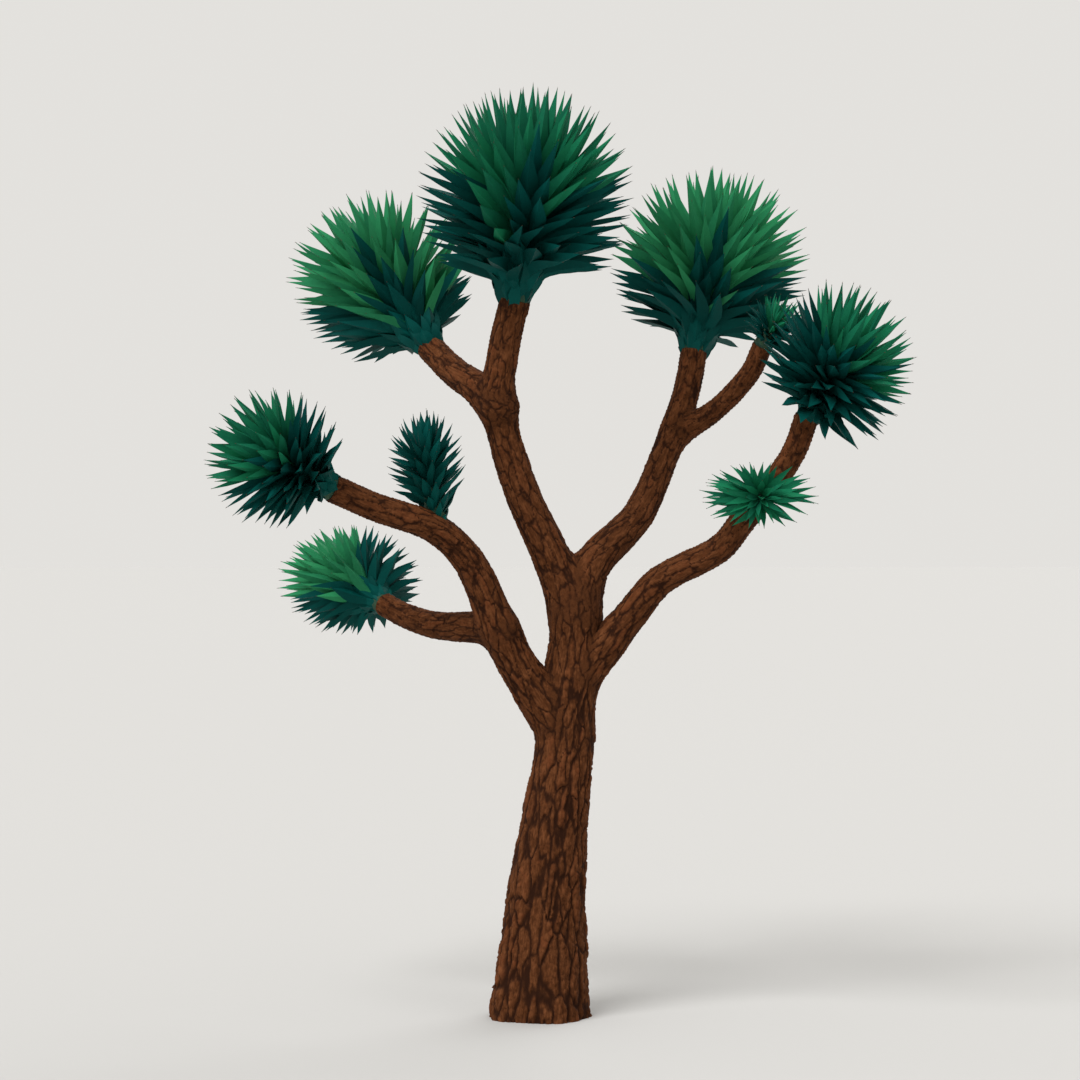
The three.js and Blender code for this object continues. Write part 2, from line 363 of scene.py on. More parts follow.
lump_scales = (6, 6, 3.5)
limb_shift = 7.3  # parts the noise of one limb from the next one's
block_shift = 50  # and the blocks' noise from the plates'
octaves = (0.8, 2.0, 3)  # how fast they weaken, how much finer each one is, and their number
least_share = 0.04  # a limb that counts for less at a point is left out there
share_sharpness = 4
noise.seed_set(3)  # else noise_vector takes its offsets from the clock


def smooth_step(low, high, value):
    """0 below low, 1 above high, and an even ramp between them."""
    t = np.clip((value - low) / (high - low), 0, 1)
    return t * t * (3 - 2 * t)


def bark_places(limb, place, offset):
    """A point's place on its limb: across, back and along, in metres."""
    across = (offset * limb.rights[place]).sum(1)
    back = (offset * limb.backs[place]).sum(1)
    along = (offset * limb.tangents[place]).sum(1)
    return np.column_stack([across, back, limb.gone[place] + along])


def cells(limb, place, plain, width, tallness, shift):
    """Voronoi cells as wide and tall as asked. For each point: how far it is from the edge of
    its cell, in metres, and a random number from -1 to 1 that belongs to the cell."""
    steps = np.diff(limb.gone) / (width[1:] * tallness)
    climbed = np.concatenate([[0], np.cumsum(steps)])
    beyond = (plain[:, 2] - limb.gone[place]) / (width[place] * tallness)
    squeezed = np.column_stack([
        plain[:, 0] / width[place], plain[:, 1] / width[place], climbed[place] + beyond]) + shift
    edges = np.empty(len(squeezed))
    lots = np.empty(len(squeezed))
    for i, (values, wide) in enumerate(zip(squeezed, width[place])):
        spot = Vector(values)
        wide_bend, fine_bend = (
            noise.noise_vector(spot * scale) * size for scale, size in furrow_bends)
        spot += wide_bend + fine_bend
        away, centres = noise.voronoi(spot)
        nearest = centres[0]
        edge = wide
        for centre, distance in zip(centres[1:3], away[1:3]):
            apart = centre - nearest
            to_border = (distance**2 - away[0] ** 2) / (2 * apart.length)
            apart.normalize()
            stretch = math.sqrt(apart.x**2 + apart.y**2 + (apart.z / tallness) ** 2) / wide
            edge = min(edge, to_border / stretch)
        edges[i] = edge
        lots[i] = noise.cell(nearest * lot_scale)
    return edges, lots


def scars(plain, radius):
    """Rows of low crescents, each with a sharp upper lip, round a young limb. Every other row
    is turned by half a scar."""
    around = np.maximum(np.round(2 * math.pi * radius / scar_width), fewest_scars)
    row = plain[:, 2] / scar_row
    turn = np.arctan2(plain[:, 1], plain[:, 0]) / (2 * math.pi) * around + 0.5 * np.floor(row)
    aside = abs(turn - np.round(turn)) * 2
    up = row - np.floor(row)
    rise = smooth_step(0, scar_crest, up) * (1 - smooth_step(scar_lip, 1, up))
    return np.clip(1 - aside**2, 0, 1) * rise


def noise_at(places, scales):
    """Smooth noise from about -1 to 1 at each place, stretched by three scales."""
    return np.array([noise.fractal(Vector(values), *octaves) for values in places * scales])


height, relief, shade = np.zeros((3, len(points)))
grain = np.zeros((len(points), 3))
share_of = weight**share_sharpness / (weight**share_sharpness).sum(0)
for index, (name, limb) in enumerate(limbs.items()):
    mine = share_of[index] > least_share
    place, offset, _ = (row[mine] for row in rows[name])
    share = share_of[index][mine] / np.where(share_of > least_share, share_of, 0).sum(0)[mine]
    radius = limb.radii[place]
    plain = bark_places(limb, place, offset)
    shift = limb_shift * index
    width = plate_width + plate_width_per_radius * limb.radii
    edge, lot = cells(limb, place, plain, width, plate_tallness, shift)
    block_edge, block_lot = cells(
        limb, place, plain, width * block_width, block_tallness, shift + block_shift)
    plate = smooth_step(0, 1, edge / (furrow_width * radius + least_furrow_width))
    block = smooth_step(0, 1, block_edge / (crack_width * radius + least_crack_width))
    fibres = noise_at(plain + shift, fibre_scales)
    lumps = noise_at(plain + shift, lump_scales)
    young = 1 - smooth_step(*young_radii, radius)
    worn = 1 - young_smoothness * young
    rise = radius * worn * (
        furrow_depth * (plate - neutral_plate) + crack_depth * (block - 1) * plate
        + plate_unevenness * (lot + block_lot_share * block_lot - neutral_lot) * plate
        + lump_height * lumps)
    rise += fibre_height * fibres + scar_height * young * (scars(plain, radius) - neutral_scar)
    height[mine] += share * rise
    # Relief is low in furrows and cracks. The material paints shade there with it, and also reads
    # it for roughness and bump.
    relief[mine] += share * (plate * (crack_relief_and_shade + (1 - crack_relief_and_shade) * block))
    shade[mine] += share * (plate_shade_share * lot + (1 - plate_shade_share) * block_lot)
    grain[mine] += share[:, None] * (plain + shift)
points = points + unit(slope) * height[:, None]
print("bark relief:", [round(float(v) * 1000, 1) for v in (height.min(), height.max())], "mm")

# %% [markdown]
# The grid of the remesh is equally fine everywhere, but flat plates need few faces and
# furrows need many. The Decimate modifier merges faces where little changes, which keeps the
# furrows crisp within a sensible number of triangles. The relief and the limb coordinates
# travel with the mesh as attributes, because the bark's material reads them. Last, the foot
# is cut level with the ground and closed.

# %% The finished wood
wood_triangles = 190_000
bark_crease = math.radians(70)


def set_attribute(mesh, name, values):
    """Stores a number or a vector with each vertex, where a material can read it."""
    kind, field = ("FLOAT", "value") if values.ndim == 1 else ("FLOAT_VECTOR", "vector")
    mesh.attributes.new(name, kind, "POINT").data.foreach_set(field, values.ravel())


def triangles(mesh):
    """The number of triangles that a mesh's faces make."""
    return sum(face.loop_total - 2 for face in mesh.polygons)


wood.data.vertices.foreach_set("co", points.ravel())
set_attribute(wood.data, "relief", relief)
set_attribute(wood.data, "shade", shade)
set_attribute(wood.data, "grain", grain)
wood.data.update()
thin_out = wood.modifiers.new("fewer faces", "DECIMATE")
thin_out.ratio = min(1.0, wood_triangles / triangles(wood.data))
applied(wood)

edit = bmesh.new()
edit.from_mesh(wood.data)
everything = edit.verts[:] + edit.edges[:] + edit.faces[:]
cut = bmesh.ops.bisect_plane(
    edit, geom=everything, plane_co=(0, 0, 0), plane_no=(0, 0, 1), clear_inner=True)
rim = [part for part in cut["geom_cut"] if isinstance(part, bmesh.types.BMEdge)]
bmesh.ops.contextual_create(edit, geom=rim)
bmesh.ops.recalc_face_normals(edit, faces=edit.faces[:])
edit.to_mesh(wood.data)
edit.free()
wood.data.shade_smooth()
wood.data.set_sharp_from_angle(angle=bark_crease)
print("wood:", triangles(wood.data), "triangles, attributes",
      [attribute.name for attribute in wood.data.attributes if not attribute.is_internal])

# %% [markdown]
# ## Heads of leaves
# Every limb runs on into a head as a short stem, and the leaves stand round that stem in a
# spiral, each one a golden angle further on than the last, which is how a yucca packs them.
# The youngest point straight ahead and the oldest lean back past level. Hair particles or
# scattered instances could place them, but here the place of each leaf matters: no leaf may
# leave its head's space, poke into another head or touch a limb. A loop over the spiral can
# test each one. It is the rule that shaped the frame, with many more and finer leaves.

# %% Sizes of the heads, in millimetres
# light is how far a head's lit side, which carries painted light in its own green, leans to
# the right of straight up, how far round the head it goes at the sides, and how far in front
# and behind, where it hangs down as a lobe, all in degrees. The rest of the head is dark
# green, as painted shade. A finger of dark leaves, a painted shadow, climbs the lit side from
# the head's foot. It is given by its tip, to the right and up, and half its width, as shares
# of the head's reach. The leaves of a slender head are narrower by that factor.
heads = {
    "head_top": {
        "limb": "bough_top", "centre": (-54, -212, 3265), "reach": (448, 434, 452),
        "green": "leaf_deep", "light": (4, 73, 130),
        "shadow_fingers": [(0.06, 0.64, 0.24), (0.3, 0.44, 0.16), (-0.18, 0.16, 0.16)]},
    "head_upper_left": {
        "limb": "limb_upper_left", "centre": (-662, 412, 2996), "reach": (398, 376, 371),
        "green": "leaf_bright", "light": (-18, 95, 139),
        "shadow_fingers": [(-0.34, 0.52, 0.3), (0.33, 0.6, 0.26), (-0.48, 0.04, 0.26)]},
    "head_upper_right": {
        "limb": "bough_upper_right", "centre": (703, 412, 3054), "reach": (430, 414, 413),
        "green": "leaf_bright", "light": (4, 90, 136),
        "shadow_fingers": [(0.11, 0.58, 0.24), (-0.18, 0.26, 0.2), (0.27, 0.2, 0.16)]},
    "head_right": {
        "limb": "bough_right", "centre": (1153, -400, 2582), "reach": (315, 320, 342),
        "green": "leaf_deep", "light": (50, 68, 116),
        "shadow_fingers": [(-0.18, 0.5, 0.24), (0.45, 0.42, 0.3), (0.98, 0.06, 0.26)]},
    "head_left": {
        "limb": "bough_left", "centre": (-1018, -525, 2222), "reach": (280, 280, 282),
        "green": "leaf_deep", "light": (-50, 74, 118),
        "shadow_fingers": [(-0.52, 0.02, 0.3), (0.07, 0.24, 0.24), (-0.75, -0.4, 0.1)]},
    "head_lower_left": {
        "limb": "limb_lower_left", "centre": (-794, 475, 1741), "reach": (314, 286, 242),
        "green": "leaf_bright", "light": (-52, 62, 106),
        "shadow_fingers": [(-0.54, -0.06, 0.2)]},
    "head_inner_right": {
        "limb": "limb_inner_right", "centre": (942, -25, 2766), "reach": (134, 134, 134),
        "green": "leaf_deep", "light": (30, 60, 104), "slender": 1.3},
    "tuft_left": {
        "limb": "bough_left", "from": (-402, -240, 1948), "stem_radius": 44,
        "centre": (-446, -240, 2211), "reach": (160, 150, 213), "past_middle": 0.2,
        "green": "leaf_dark"},
    "tuft_right": {
        "limb": "bough_right", "from": (845, -217, 2050), "stem_radius": 40,
        "centre": (856, -343, 2079), "reach": (246, 146, 139), "past_middle": 0,
        "green": "leaf_deep", "slender": 1.4},
}
all_light = (0, 180, 180)
head_spread = 130  # how far from straight ahead the lowest leaves end, in degrees
stem_taper = 0.6
stem_bend = 1 / 3  # how far along the way to the middle a stem turns towards it
stem_past_middle = -0.1  # where a stem ends, of the head's mean reach
stem_dome = 0.12
stem_steps = 30
root_outset = 0.5  # how far from the stem's middle a leaf starts, of its radius


def beside(axis):
    """Two directions square to an axis: to its right and behind it."""
    across = unit(np.cross((0, 1, 0), axis))
    return across, np.cross(axis, across)


class Head:
    """A head's space, its stem and the directions that its leaves are measured from."""

    def __init__(self, name, size):
        self.name = name
        self.green = size["green"]
        self.slender = size.get("slender", 1)
        light_lean, self.light_ends, self.lobe_ends = size.get("light", all_light)
        lean = math.radians(light_lean)
        self.light = np.array([math.sin(lean), 0, math.cos(lean)])
        self.shadow_fingers = size.get("shadow_fingers", [])
        self.middle = np.array(size["centre"]) * mm
        self.reach = np.array(size["reach"]) * mm
        limb = limbs[size["limb"]]
        if "from" in size:
            start = np.array(size["from"]) * mm
            heading = unit(self.middle - start)
            radius = size["stem_radius"] * mm
        else:
            start = limb.line[-1]
            heading = limb.tangents[-1]
            radius = limb.radii[-1]
        bend = start + heading * np.linalg.norm(self.middle - start) * stem_bend
        self.axis = unit(self.middle - bend)
        self.foot = ((start - self.middle) / self.reach)[[0, 2]]
        self.across, self.back = beside(self.axis)
        past_middle = size.get("past_middle", stem_past_middle) * self.reach.mean()
        tip = self.middle + self.axis * past_middle
        t = np.linspace(0, 1, stem_steps)[:, None]
        route = (1 - t) ** 2 * start + 2 * t * (1 - t) * bend + t**2 * tip
        self.stem = Limb(route, radius, radius * stem_taper, flare=1, dome=stem_dome)

    def level(self, point):
        """0 in the middle of the head's space, and 1 on its surface."""
        return np.linalg.norm((point - self.middle) / self.reach)

    def pointing(self, polar, turn):
        """The direction that lies at an angle from the axis and at a turn round it."""
        outward = self.across * math.cos(turn) + self.back * math.sin(turn)
        return self.axis * math.cos(polar) + outward * math.sin(polar)

    def stem_at(self, along, turn):
        """A point just under the stem's skin. Below 0 it is on the limb's tip."""
        place = min(max(along, 0), 1) * (len(self.stem.line) - 1)
        outward = self.pointing(math.pi / 2, turn) * self.stem.radii[round(place)]
        below = self.stem.tangents[0] * min(along, 0) * self.stem.gone[-1]
        return self.stem.line[round(place)] + below + outward * root_outset


heads = {name: Head(name, size) for name, size in heads.items()}
print("stems:", {name: f"{head.stem.gone[-1]:.2f} m" for name, head in heads.items()})

# %% [markdown]
# The leaves are listed before they are drawn. Most follow the spiral from the tip of the
# stem to the foot of the head. A few rows of short ones hug the stem below them, and make
# the narrow throat where a head grips its limb. The colour of each leaf is dealt out here
# too, as one of three plain greens, and it paints light and shade: a head's lit side is bright
# or deep green, the rest of it, the throat too, is dark as painted shade, and dark leaves
# climb the lit side in a few pointed fingers of painted shadow.

# %% The spiral of leaves
golden_angle = math.pi * (3 - math.sqrt(5))
most_leaves = 215  # on a head of the largest reach
largest_reach = 0.44
crowding = 0.95  # how fast the number falls on smaller heads
leaf_jitter = 0.12
lowest_leaf_along = 0.14
root_drop = 1.4  # above 1, only the lowest leaves start low on the stem
shortest_leaf = 0.93
limb_clearance = 0.024
throat_share = 0.2  # leaves in the throat, as a share of the others
throat_span = (-0.08, 0.26)  # where its lowest and highest leaves start along the stem
throat_leans = (18, 62)  # at its foot and at its top, in degrees
throat_lean_spread = 3
throat_lengths = (0.24, 0.62)  # of the head's mean reach, at its foot and at its top
shortest_in_throat = 0.85
dense_middle = 1.2  # where a blade has left it, in radii of the stem's foot
lobe_width = 31  # of the light side's lobes in front and behind, in degrees
light_edge_spread = 2.5
finger_narrows = 0.75  # how much of its width a finger has lost at its tip
sample_skip = 6  # as tube_skip, for the points that leaves are tested against
draws = np.random.default_rng(20)

limb_samples = np.vstack([limb.line[::sample_skip] for limb in limbs.values()])
limb_sample_radii = np.concatenate([limb.radii[::sample_skip] for limb in limbs.values()])


def clear_of_limbs(root, tip):
    """Whether a straight blade passes every limb at a safe distance."""
    along = tip - root
    t = np.clip((limb_samples - root) @ along / (along @ along), 0, 1)
    gap = np.linalg.norm(root + t[:, None] * along - limb_samples, axis=1)
    return np.all(gap > limb_sample_radii + limb_clearance)


def on_painted_lit_side(head, pointing):
    """Whether a leaf that ends in some direction from a head's middle is on its side of
    painted light, the side that keeps the head's own green.
    """
    across, back = beside(head.light)
    turn = math.degrees(math.atan2(pointing @ back, pointing @ across))
    polar = math.degrees(math.acos(np.clip(pointing @ head.light, -1, 1)))
    from_lobe = abs(abs(turn) - 90)
    lobe = (head.lobe_ends - head.light_ends) * math.exp(-((from_lobe / lobe_width) ** 2))
    return polar + draws.normal(0, light_edge_spread) < head.light_ends + lobe


def in_shadow_finger(head, pointing):
    """Whether such a leaf belongs to a dark finger of painted shadow, as seen from the front
    or the back.
    """
    from_foot = pointing[[0, 2]] - head.foot
    for x, z, width in head.shadow_fingers:
        finger = np.array((x, z)) - head.foot
        along = from_foot @ finger / (finger @ finger)
        aside = abs(finger[0] * from_foot[1] - finger[1] * from_foot[0]) / np.linalg.norm(finger)
        if 0 < along < 1 and aside < width * (1 - finger_narrows * along):
            return True
    return False


def green_of(head, pointing):
    """The colour of such a leaf: its head's own green on the painted lit side, else leaf_dark,
    which is painted shade.
    """
    light = on_painted_lit_side(head, pointing) and not in_shadow_finger(head, pointing)
    # Lit leaves keep the head's green; the rest take leaf_dark as painted shade and shadow.
    return head.green if light else "leaf_dark"


def leaf_between(head, root, tip, green):
    """One leaf from its root to its tip."""
    length = np.linalg.norm(tip - root)
    direction = (tip - root) / length
    lean = math.acos(np.clip(direction @ head.axis, -1, 1))
    return {"head": head, "root": root, "direction": direction, "length": length,
            "lean": lean, "green": green}


def keeps_to_its_space(leaf):
    """Whether a leaf's tip lies nearer its own head's middle than any other's."""
    tip = leaf["root"] + leaf["direction"] * leaf["length"]
    level = leaf["head"].level(tip)
    return all(other.level(tip) >= level for other in heads.values())


def touches_no_limb(leaf):
    """Whether a leaf is clear of every limb, from where it leaves the dense middle."""
    emerges = leaf["root"] + leaf["direction"] * leaf["head"].stem.radii[0] * dense_middle
    return clear_of_limbs(emerges, leaf["root"] + leaf["direction"] * leaf["length"])


def spiral(head):
    """The main leaves of a head. Their tips are spread evenly over its space, and their
    roots lie along the stem, so that the lowest leaves fan out from the limb's tip."""
    count = round(most_leaves * (head.reach.mean() / largest_reach) ** crowding)
    found = []
    for k in range(count):
        share = (k + 0.5) / count
        polar = math.acos(1 - share * (1 - math.cos(math.radians(head_spread))))
        polar += leaf_jitter * (draws.random() - 0.5)
        turn = k * golden_angle + leaf_jitter * (draws.random() - 0.5)
        pointing = head.pointing(polar, turn)
        root = head.stem_at(1 + (lowest_leaf_along - 1) * share**root_drop, turn)
        surface = head.middle + pointing * head.reach
        tip = root + (surface - root) * draws.uniform(shortest_leaf, 1)
        leaf = leaf_between(head, root, tip, green_of(head, pointing))
        if keeps_to_its_space(leaf) and touches_no_limb(leaf):
            found.append(leaf)
    return found


def throat(head, count):
    """Short leaves, dark green as painted shade, that hug the foot of the stem and open into
    the head.
    """
    found = []
    for k in range(count):
        share = (k + 0.5) / count
        turn = k * golden_angle
        root = head.stem_at(np.interp(share, (0, 1), throat_span), turn)
        lean = np.interp(share, (0, 1), throat_leans) + draws.normal(0, throat_lean_spread)
        length = head.reach.mean() * np.interp(share, (0, 1), throat_lengths)
        length *= draws.uniform(shortest_in_throat, 1)
        tip = root + head.pointing(math.radians(lean), turn) * length
        leaf = leaf_between(head, root, tip, "leaf_dark")
        if keeps_to_its_space(leaf):
            found.append(leaf)
    return found


leaves = []
for head in heads.values():
    main = spiral(head)
    leaves += main + throat(head, round(throat_share * len(main)))
leaves_of = {green: [leaf for leaf in leaves if leaf["green"] == green]
             for green in ("leaf_bright", "leaf_deep", "leaf_dark")}
print("leaves:", len(leaves), {green: len(some) for green, some in leaves_of.items()})

# %% [markdown]
# ## The shape of a leaf
# A joshua tree's leaf is a dagger: broad where it clasps the stem, slightly waisted, then
# widest near the middle, and drawn out to a brown spine. It is channelled above and keeled
# below, which makes it stiff. One template of seven cross-sections holds that shape, and
# array arithmetic lays it out for every leaf at once. An Array modifier can't give each copy
# its own length, bend and roll, and thousands of separate objects would be slow.

# %% All leaves as joined meshes
# Cross-sections from root to tip: share of the length, width, channel and keel, as shares of
# the leaf's greatest width.
leaf_sections = np.array([
    (0.00, 0.90, 0.14, 0.30), (0.12, 0.76, 0.12, 0.34), (0.30, 0.86, 0.11, 0.36),
    (0.48, 1.00, 0.10, 0.36), (0.64, 0.82, 0.09, 0.33), (0.80, 0.47, 0.06, 0.25),
    (0.92, 0.19, 0.02, 0.12)])
widest_leaf = 0.074  # on a head of the largest reach
narrowest_leaf = 0.032  # on the smallest head
smallest_reach = 0.13
spine_start = 0.972
spine_radius = 0.0016
spine_sides = 5
blade_into_spine = 0.02
widest_roll = math.radians(40)
width_spread = (0.86, 1.1)
arching_leans = (math.radians(25), math.radians(85))  # where leaves start and end to arch
young_arch = -0.02  # of the leaf's length, as are the next three
old_arch = 0.15
arch_spread = 0.012
sway_spread = 0.014
bow_skew = 0.75  # below 1, a leaf bends most nearer its root
leaf_crease = math.radians(42)


def leaf_frames(some):
    """Arrays that hold the place, size and bend of each leaf."""
    direction = np.array([leaf["direction"] for leaf in some])
    axis = np.array([leaf["head"].axis for leaf in some])
    lean = np.array([leaf["lean"] for leaf in some])
    reach = np.array([leaf["head"].reach.mean() for leaf in some])
    slender = np.array([leaf["head"].slender for leaf in some])
    side = unit(np.cross(axis, direction))
    up = np.cross(direction, side)
    roll = draws.uniform(-widest_roll, widest_roll, len(some))[:, None]
    side, up = side * np.cos(roll) + up * np.sin(roll), up * np.cos(roll) - side * np.sin(roll)
    older = smooth_step(*arching_leans, lean)
    return {
        "root": np.array([leaf["root"] for leaf in some]),
        "direction": direction, "side": side, "up": up,
        "length": np.array([leaf["length"] for leaf in some]),
        "width": np.interp(reach, (smallest_reach, largest_reach), (narrowest_leaf, widest_leaf))
        * draws.uniform(*width_spread, len(some)) / slender,
        "arch": young_arch + old_arch * older + draws.normal(0, arch_spread, len(some)),
        "sway": draws.normal(0, sway_spread, len(some)),
    }


def along_leaf(frames, t):
    """The middle line of each leaf at a share of its length: a straight line with an arch."""
    bow = math.sin(math.pi * t**bow_skew)
    straight = frames["direction"] * t
    arch = frames["up"] * (frames["arch"] * bow)[:, None]
    sway = frames["side"] * (frames["sway"] * bow)[:, None]
    return frames["root"] + (straight + arch + sway) * frames["length"][:, None]


def leaf_mesh(frames):
    """Vertices and faces of the blades: four corners a section, and a point."""
    sections = []
    for t, width, channel, keel in leaf_sections:
        middle = along_leaf(frames, t * spine_start)
        half = frames["side"] * (frames["width"] * width / 2)[:, None]
        down = -frames["up"] * frames["width"][:, None]
        sections += [middle - half, middle + down * channel, middle + half, middle + down * keel]
    sections.append(along_leaf(frames, spine_start + blade_into_spine))
    vertices = np.array(sections).transpose(1, 0, 2)
    shape = quads_between(len(leaf_sections), sides=4)
    last = 4 * len(leaf_sections) - 4
    shape += [(last + corner, last + (corner + 1) % 4, last + 4) for corner in range(4)]
    shape.append((3, 2, 1, 0))
    return vertices, shape


def spine_mesh(frames):
    """Vertices and faces of the brown points on the ends of the blades."""
    middle = along_leaf(frames, spine_start)
    tip = along_leaf(frames, 1)
    ring = []
    for k in range(spine_sides):
        angle = 2 * math.pi * k / spine_sides
        out = frames["side"] * math.cos(angle) + frames["up"] * math.sin(angle)
        ring.append(middle + out * spine_radius)
    vertices = np.array([*ring, tip]).transpose(1, 0, 2)
    shape = [((k + 1) % spine_sides, k, spine_sides) for k in range(spine_sides)]
    shape.append(tuple(range(spine_sides)))
    return vertices, shape


def repeated(vertices, shape):
    """The faces of one shape, repeated for every row of vertices."""
    count, corners = vertices.shape[:2]
    faces = [tuple(corners * row + corner for corner in face)
             for row in range(count) for face in shape]
    return vertices.reshape(-1, 3), faces


leaf_pieces = {}
all_spines = []
for green, some in leaves_of.items():
    frames = leaf_frames(some)
    vertices, shape = leaf_mesh(frames)
    piece = new_mesh(green.replace("leaf", "leaves"), *repeated(vertices, shape))
    tints = draws.uniform(0, 1, len(some))
    set_attribute(piece.data, "tint", np.repeat(tints, vertices.shape[1]))
    piece.data.shade_smooth()
    piece.data.set_sharp_from_angle(angle=leaf_crease)
    leaf_pieces[green] = piece
    all_spines.append(repeated(*spine_mesh(frames)))
    print(piece.name, len(some), "leaves,", triangles(piece.data), "triangles")
spines = new_mesh("leaf_spines", *joined(all_spines))
spines.data.shade_smooth()

# %% [markdown]
# ## Stems inside the heads
# Between the leaves a little of each stem shows, dark green and ringed with the bases of
# the leaves. It is hidden for the most part, so a tube with its rings stepped in and out
# is enough: the remesh that joined the limbs would spend faces where nobody looks.

# %% Stems
stem_sides = 20
stem_skip = 3
leaf_bases = 8  # in one turn round a stem
base_slant = 0.012  # metres along the stem from one radian of their pattern to the next
stem_inset = 0.9  # of the stem's radius, as is the next
base_height = 0.06
stem_parts = []
for head in heads.values():
    stem_points, stem_faces = tube(head.stem, stem_sides, stem_skip)
    place, offset, _ = head.stem.measure(stem_points)
    across, back, _ = bark_places(head.stem, place, offset).T
    pattern = np.cos(np.arctan2(back, across) * leaf_bases + head.stem.gone[place] / base_slant)
    radius_share = stem_inset + base_height * (0.5 + 0.5 * pattern)
    stem_points = head.stem.line[place] + offset * radius_share[:, None]
    stem_parts.append((stem_points, stem_faces))
stems = new_mesh("head_stems", *joined(stem_parts))
stems.data.shade_smooth()
print("stems:", triangles(stems.data), "triangles")

# %% [markdown]
# ## Materials
# A shader is a network of small nodes, and even a short sum in it takes several of them.
# Building each by hand hides the sum, so one small class wraps a node's output: adding or
# multiplying two wires adds the Math nodes, and the line reads as the sum itself.

# %% Wires
# Where a Mix node keeps its sockets for colours. It has others for numbers and vectors.
mix_factor, mix_from, mix_to, mixed_colour = 0, 6, 7, 2


class Wire:
    """The output of a shader node. Sums on wires add Math nodes to the same material."""

    def __init__(self, tree, socket=None):
        self.tree = tree
        self.socket = socket

    def add(self, kind, settings=None, sockets=None, output=0):
        """A new node of any kind: first its settings, then the values or links of its sockets."""
        node = self.tree.nodes.new("ShaderNode" + kind)
        for name, value in (settings or {}).items():
            setattr(node, name, value)
        for name, value in (sockets or {}).items():
            if isinstance(value, Wire):
                self.tree.links.new(value.socket, node.inputs[name])
            else:
                node.inputs[name].default_value = value
        return Wire(self.tree, node.outputs[output])

    def maths(self, operation, first, second):
        """A Math node on two wires or numbers."""
        return self.add("Math", {"operation": operation}, {0: first, 1: second})

    def __add__(self, other):
        return self.maths("ADD", self, other)

    __radd__ = __add__

    def __sub__(self, other):
        return self.maths("SUBTRACT", self, other)

    def __rsub__(self, other):
        return self.maths("SUBTRACT", other, self)

    def __mul__(self, other):
        return self.maths("MULTIPLY", self, other)

    __rmul__ = __mul__

    def ramp(self, low, high):
        """0 where this wire is at most low, 1 where it is at least high."""
        sockets = {"Value": self, "From Min": low, "From Max": high}
        return self.add("MapRange", {"interpolation_type": "SMOOTHSTEP"}, sockets)

    def between(self, low, high):
        """A colour from low to high, mixed by this wire."""
        sockets = {mix_factor: self, mix_from: low, mix_to: high}
        return self.add("Mix", {"data_type": "RGBA"}, sockets, output=mixed_colour)

    def scaled(self, factors):
        """This vector, multiplied side by side with another."""
        return self.add("VectorMath", {"operation": "MULTIPLY"}, {0: self, 1: factors})

    def noise(self, scale, detail, roughness):
        """Noise read at the place that this vector gives."""
        sockets = {"Vector": self, "Scale": scale, "Detail": detail, "Roughness": roughness}
        return self.add("TexNoise", None, sockets)

    def bump(self, strength, distance):
        """Normals that take this wire as a height."""
        sockets = {"Strength": strength, "Distance": distance, "Height": self}
        return self.add("Bump", None, sockets, output="Normal")

    def attribute(self, name, output="Fac"):
        """What the mesh stores under a name."""
        return self.add("Attribute", {"attribute_name": name}, output=output)


def colour(code):
    """A colour written as in a web page, as the linear values that shaders use."""
    parts = [int(code[i:i + 2], 16) / 255 for i in (0, 2, 4)]
    linear = [part / 12.92 if part <= 0.04045 else ((part + 0.055) / 1.055) ** 2.4
              for part in parts]
    return (*linear, 1.0)


def new_material(piece, name, **surface_values):
    """Gives a piece a new material. Returns its Principled surface and a wire to start from."""
    material = bpy.data.materials.new(name)
    material.use_nodes = True
    piece.data.materials.append(material)
    surface = material.node_tree.nodes["Principled BSDF"]
    for socket, value in surface_values.items():
        surface.inputs[socket.replace("_", " ")].default_value = value
    return surface, Wire(material.node_tree)


def feed(surface, socket, wire):
    """Links a wire to a socket of the surface."""
    wire.tree.links.new(wire.socket, surface.inputs[socket])


print("mid grey, 808080, is", round(colour("808080")[0], 3), "in linear light")

# %% [markdown]
# ## Bark material
# Cork is dull, so its look comes from colour and relief. An image of bark would stretch and
# show its seams in the forks, so each point works out its own colour instead. The furrows
# and cracks that the mesh already has get a dark brown of painted shade, the tops of the
# plates weather paler, and two more layers of noise read in the limb's own coordinates add
# the fibres and flakes that are too small to model. They feed a Bump node as well, so light
# catches them.

# %% Bark
# Furrows and cracks take the first brown below, a dark brown of painted shade.
furrow_shade_brown = colour("28140a")
deep_brown = colour("4a2812")
plate_brown = colour("60341b")
weathered_brown = colour("6e4226")
fibre_stretch = (1.0, 1.0, 0.16)
flake_stretch = (1.0, 1.0, 0.5)
middle_of_noise = 0.5
fraying = 0.6  # how much the flakes fray the edges of the plates
plate_weight = 0.7  # of a plate's own number in its tone, beside the patches
patch_weight = 0.6
bark_tone_shift = 0.15
flake_weathering = 0.5
fibre_weathering = 0.6
furrow_roughness = 0.97
plate_polish = 0.12
fibre_bump = 0.5
flake_bump = 0.9
furrow_bump = 0.3

